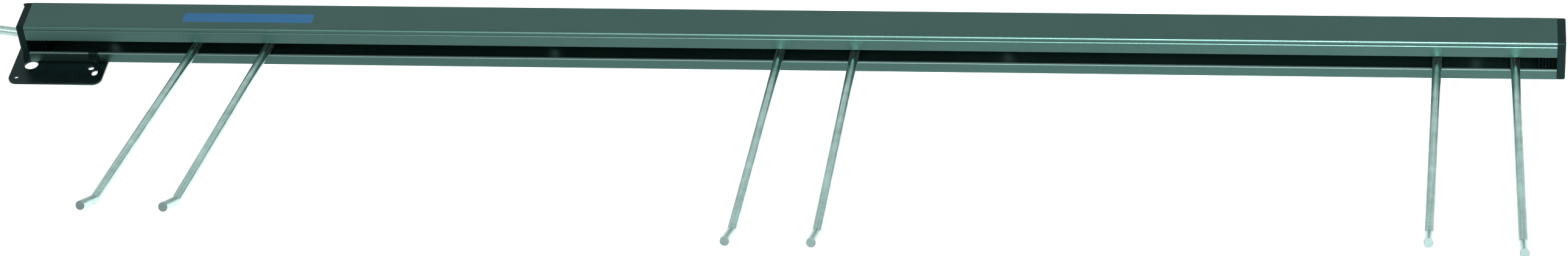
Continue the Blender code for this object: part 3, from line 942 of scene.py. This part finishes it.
# %% A wire bender
class WireBender:
    """A round wire that grows from a ring by straight feeds and bends."""

    def __init__(self, start, along, radius):
        self.shape = bmesh.new()
        self.store = self.shape.verts.layers.float_vector.new("straight_place")
        turn = along.to_track_quat("Z", "Y").to_matrix().to_4x4()
        matrix = Matrix.Translation(start) @ turn
        made = bmesh.ops.create_circle(self.shape, cap_ends=False, segments=28, radius=radius)
        self.ring = made["verts"]
        self.fed = 0.0
        for vert in self.ring:
            vert[self.store] = vert.co
        bmesh.ops.transform(self.shape, matrix=matrix, verts=self.ring)
        self.start_ring = list(self.ring)
        self.along = along.normalized()
        self.centre = start.copy()

    def ring_edges(self):
        ring = set(self.ring)
        return [edge for edge in self.shape.edges if set(edge.verts) <= ring]

    def grow(self, geometry, length):
        """Take the newest ring, and mark how far along the wire it is."""
        old = list(self.ring)
        new = [item for item in geometry if isinstance(item, bmesh.types.BMVert)]
        self.fed += length
        self.ring = new
        for vert in new:
            before = min(old, key=lambda other: self.turned_distance(other, vert))
            across = before[self.store]
            vert[self.store] = Vector((across.x, across.y, self.fed))

    def turned_distance(self, before, after):
        moved = self.step @ before.co
        return (moved - after.co).length_squared

    def push(self, matrix, length):
        """Extrude the ring once, and move the new ring by a matrix."""
        self.step = matrix
        edges = self.ring_edges()
        grown = bmesh.ops.extrude_edge_only(self.shape, edges=edges)["geom"]
        verts = [item for item in grown if isinstance(item, bmesh.types.BMVert)]
        bmesh.ops.transform(self.shape, matrix=matrix, verts=verts)
        self.grow(verts, length)
        self.centre = matrix @ self.centre

    def feed(self, length):
        """Push the wire straight on."""
        self.push(Matrix.Translation(self.along * length), length)

    def bend(self, towards, radius, steps=10):
        """Swing the wire round until it points along a new direction."""
        towards = towards.normalized()
        axis = self.along.cross(towards).normalized()
        angle = self.along.angle(towards)
        centre = self.centre + axis.cross(self.along) * radius
        to_centre = Matrix.Translation(centre)
        turn = Matrix.Rotation(angle / steps, 4, axis)
        for _ in range(steps):
            self.push(to_centre @ turn @ to_centre.inverted(), radius * angle / steps)
        self.along = towards

    def follow(self, corners, radius):
        """Feed and bend the wire past a list of corners."""
        here = self.centre
        for corner, after in zip(corners, corners[1:]):
            towards = (after - corner).normalized()
            trim = radius * tan(self.along.angle(towards) / 2)
            self.feed((corner - here).length - trim)
            self.bend(towards, radius)
            here = self.centre
        self.feed((corners[-1] - here).length)

    def close(self, edge_break=0.0003):
        """Cap both ends, mark them as sheared and break their rims."""
        rims = []
        for ring in (self.start_ring, self.ring):
            self.ring = ring
            edges = self.ring_edges()
            rims += edges
            face = bmesh.ops.contextual_create(self.shape, geom=edges)["faces"][0]
            face.material_index = 1
        bevel(self.shape, rims, edge_break, 3)
        return self.shape


def bent_wire(corners, radius, bend_radius):
    along = (corners[1] - corners[0]).normalized()
    bender = WireBender(corners[0], along, radius)
    bender.follow(corners[1:], bend_radius)
    return bender.close()


# %% [markdown]
# ## The double hooks
#
# Each hook is one wire: tip, prong, a leg up inside the rail, a crossbar in the
# hidden clip, and the same way back. The crossbar's place comes from the clip's
# own box. Hooks on a real rack never hang quite alike, so each pair has its own
# rise and turn. The prongs of every pair are bent a little apart, the right
# pair's most, and its right prong is also a little lower.

# %% Bend the three hooks
WIRE_BEND = 0.006
PRONG_SPACING = 0.0488
PRONG_LENGTH = 0.200
TIP_LENGTH = 0.025
TIP_TURN = radians(20.7)
# Each row: name, metres from the rail's left end, and degrees of rise, turn, twist and splay.
HOOKS = [
    ("left", 0.13835, 11.0, -2.8, 0.0, 0.5),
    ("middle", 0.5288, 6.7, -0.2, 0.0, 0.5),
    ("right", 0.9496, 8.6, -0.1, -1.5, 0.93),
]


def direction(rise, turn):
    return Vector((sin(turn) * cos(rise), -cos(turn) * cos(rise), sin(rise)))


def prong_corners(centre, crossbar, rise, turn, side):
    """Corners of one prong, from its tip to the top of its leg."""
    height = SLOT_BOTTOM + (WIRE_RADIUS + GAP) / cos(rise) + THIN_WALL * tan(rise)
    root = Vector((centre + side * PRONG_SPACING / 2, FRONT, height))
    along = direction(rise, turn)
    knee = root + along * ((crossbar.y - FRONT) / along.y)
    heel = root + along * PRONG_LENGTH
    tip = heel + direction(rise + TIP_TURN, turn) * TIP_LENGTH
    return [tip, heel, knee, Vector((knee.x, crossbar.y, crossbar.z))]


for name, from_end, *angles in HOOKS:
    low, high = (Vector(corner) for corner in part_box(f"glider_{name}"))
    crossbar = (low + high) / 2
    rise, turn, twist, splay = (radians(angle) for angle in angles)
    corners = prong_corners(LEFT + from_end, crossbar, rise, turn - splay, -1)
    corners += reversed(prong_corners(LEFT + from_end, crossbar, rise + twist, turn + splay, 1))
    wire = bent_wire(corners, WIRE_RADIUS, WIRE_BEND)
    add_piece(f"{name}_hook", wire, [ZINC, SHEARED], f"hook_{name}", f"hook_{name}")

# %% [markdown]
# ## The side hook
#
# The same wire also leaves the left cap, rises slightly and ends in a short
# upturned tip. It has one bend, and the same bender makes it.

# %% Bend the side hook
SIDE_REACH = 0.050
SIDE_INSIDE = 0.014
SIDE_TIP = 0.015
tip_rise = SIDE_RISE + TIP_TURN
side_heel = SIDE_ROOT + SIDE_ALONG * SIDE_REACH
side_tip = side_heel + Vector((-cos(tip_rise), 0.0, sin(tip_rise))) * SIDE_TIP
wire = bent_wire([SIDE_ROOT - SIDE_ALONG * SIDE_INSIDE, side_heel, side_tip], WIRE_RADIUS, WIRE_BEND)
add_piece("side_hook_wire", wire, [ZINC, SHEARED], "rack", "side_hook")

# %% [markdown]
# ## The hidden clips
#
# A nylon clip holds each crossbar under the rail's ceiling. It is a short
# extrusion: a square with a round seat that opens downwards through a mouth
# narrower than the wire, so that the wire snaps in and stays.

# %% Mould the clips
MOUTH_HALF = 0.0026
SEAT_STEPS = 24
CLIP_CORNER = 0.0006
CLIP_EDGE = 0.0002


def clip_shape(low, high):
    centre = (low + high) / 2
    half = (high.z - low.z) / 2
    seat = WIRE_RADIUS + GAP
    lip = degrees(asin(MOUTH_HALF / seat))
    outline = [(-MOUTH_HALF, -half), (-half, -half), (-half, half)]
    outline += [(half, half), (half, -half), (MOUTH_HALF, -half)]
    for step in range(SEAT_STEPS + 1):
        angle = radians(lip - 90 + (360 - 2 * lip) * step / SEAT_STEPS)
        outline.append((seat * cos(angle), seat * sin(angle)))
    length = Vector((high.x - low.x, 0.0, 0.0))

    def to_place(across, up):
        return (low.x, centre.y + across, centre.z + up)

    def at_end(edge):
        return any(all(near(vert.co.x, x) for vert in edge.verts) for x in (low.x, high.x))

    shape = extrude_outline(outline, to_place, length)
    corner = edges_along(shape, 0, lambda m: near(abs(m.y - centre.y), half))
    bevel(shape, corner, CLIP_CORNER, 3)
    bevel(shape, [edge for edge in shape.edges if at_end(edge)], CLIP_EDGE, 1)
    return shape


for name, *_ in HOOKS:
    low, high = (Vector(corner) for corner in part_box(f"glider_{name}"))
    clip = clip_shape(low, high)
    add_piece(f"{name}_clip", clip, [NYLON], f"glider_{name}", f"glider_{name}")

# %% [markdown]
# ## The stage
#
# A plain pale floor lies well below the rack, so that the rack's shadow is too
# soft to see. It is nearly white and bright, and the metal mirrors it from
# below.

# %% Lay the floor
FLOOR_HEIGHT = -0.75
FLOOR_SIZE = 9.0
shape = bmesh.new()
bmesh.ops.create_grid(shape, x_segments=1, y_segments=1, size=FLOOR_SIZE)
bmesh.ops.translate(shape, vec=(0.0, 0.0, FLOOR_HEIGHT), verts=shape.verts)
mesh = bpy.data.meshes.new("pale_floor")
shape.to_mesh(mesh)
shape.free()
floor_finish = Finish("pale_floor", Roughness=0.9, Emission_Color=rgb(1, 1, 1), Emission_Strength=0.28)
speckle = floor_finish.noise(floor_finish.place(), 9.0, 2.0)
floor_finish.feed(Base_Color=floor_finish.mix(speckle, rgb(0.93, 0.93, 0.93), rgb(0.95, 0.95, 0.95)))
mesh.materials.append(floor_finish.material)
floor = bpy.data.objects.new("pale_floor", mesh)
bpy.context.scene.collection.objects.link(floor)
print("floor at", floor.data.vertices[0].co.z)

# %% [markdown]
# ## Light
#
# Even studio light suits anodised metal. The room is pale and even, which the
# top of the rail mirrors. A soft light above the floor makes a brighter pool on
# it in front of the rack at the right, which the front mirrors.
#
# Two softboxes hang high in front at the right and draw the bright lines along
# the rail's corner and groove. They end at the same place on the right, but the
# dimmer one reaches further left, so that the lines fade to the left. A grid on
# each narrows its beam, which keeps it off the slot and the front. Their power
# follows from a brightness, their area and the share that the grid lets through.


# %% Light the room
def softbox(name, place, target, size, power):
    light = bpy.data.lights.new(name, "AREA")
    light.shape = "RECTANGLE"
    light.size, light.size_y = size
    light.energy = power
    box = bpy.data.objects.new(name, light)
    bpy.context.scene.collection.objects.link(box)
    box.location = place
    aim = Vector(target) - Vector(place)
    box.rotation_euler = aim.to_track_quat("-Z", "Y").to_euler()
    return box


world = bpy.data.worlds.new("soft_room")
world.use_nodes = True
background = world.node_tree.nodes["Background"]
background.inputs["Color"].default_value = rgb(0.97, 1.0, 0.99)
background.inputs["Strength"].default_value = 0.8
bpy.context.scene.world = world

POOL_PLACE = (0.7, -1.1, 0.35)
POOL_TARGET = (0.7, -1.1, FLOOR_HEIGHT)
POOL_SIZE = (1.0, 0.8)
POOL_POWER = 6.0
softbox("floor_pool", POOL_PLACE, POOL_TARGET, POOL_SIZE, POOL_POWER)

SPREAD = radians(40)
BEAM_SHARE = 1 - SPREAD / 2 / tan(SPREAD / 2)
BOX_RIGHT = 1.6
BOX_DEPTH = 0.5
BOX_AWAY = 2.26
# Each row: where the softbox ends on the left, and its brightness.
HIGH_SOFTBOXES = [(0.15, 120.0), (-0.5, 45.0)]
for number, (left, brightness) in enumerate(HIGH_SOFTBOXES):
    width = BOX_RIGHT - left
    middle = (left + BOX_RIGHT) / 2
    power = brightness * pi * width * BOX_DEPTH * BEAM_SHARE
    place = (middle, -BOX_AWAY, BOX_AWAY)
    box = softbox(f"high_right_{number}", place, (middle, 0, 0), (width, BOX_DEPTH), power)
    box.data.spread = SPREAD

# %% [markdown]
# ## Camera
#
# The camera stands in front of the rack, towards its right end and well above
# it, and looks down and slightly to the left through a long lens.

# %% Place the camera
YAW, PITCH, ROLL = radians(11.0), radians(39.2), radians(-6.2)
CAMERA_PLACE = (0.419, -2.1685, 1.7167)
FOCAL_LENGTH = 98.6
ahead = Vector((-sin(YAW) * cos(PITCH), cos(YAW) * cos(PITCH), -sin(PITCH)))
level = Vector((cos(YAW), sin(YAW), 0.0))
upright = level.cross(ahead)
across = cos(ROLL) * level + sin(ROLL) * upright
upwards = -sin(ROLL) * level + cos(ROLL) * upright
lens = bpy.data.cameras.new("camera")
lens.sensor_width = 36.0
lens.sensor_fit = "HORIZONTAL"
lens.lens = FOCAL_LENGTH
lens.clip_start = 0.05
camera = bpy.data.objects.new("camera", lens)
bpy.context.scene.collection.objects.link(camera)
pose = Matrix((across, upwards, -ahead)).transposed().to_4x4()
camera.matrix_world = Matrix.Translation(CAMERA_PLACE) @ pose
bpy.context.scene.camera = camera
bpy.context.scene.view_settings.view_transform = "Standard"
print("camera at", tuple(round(value, 3) for value in camera.location))
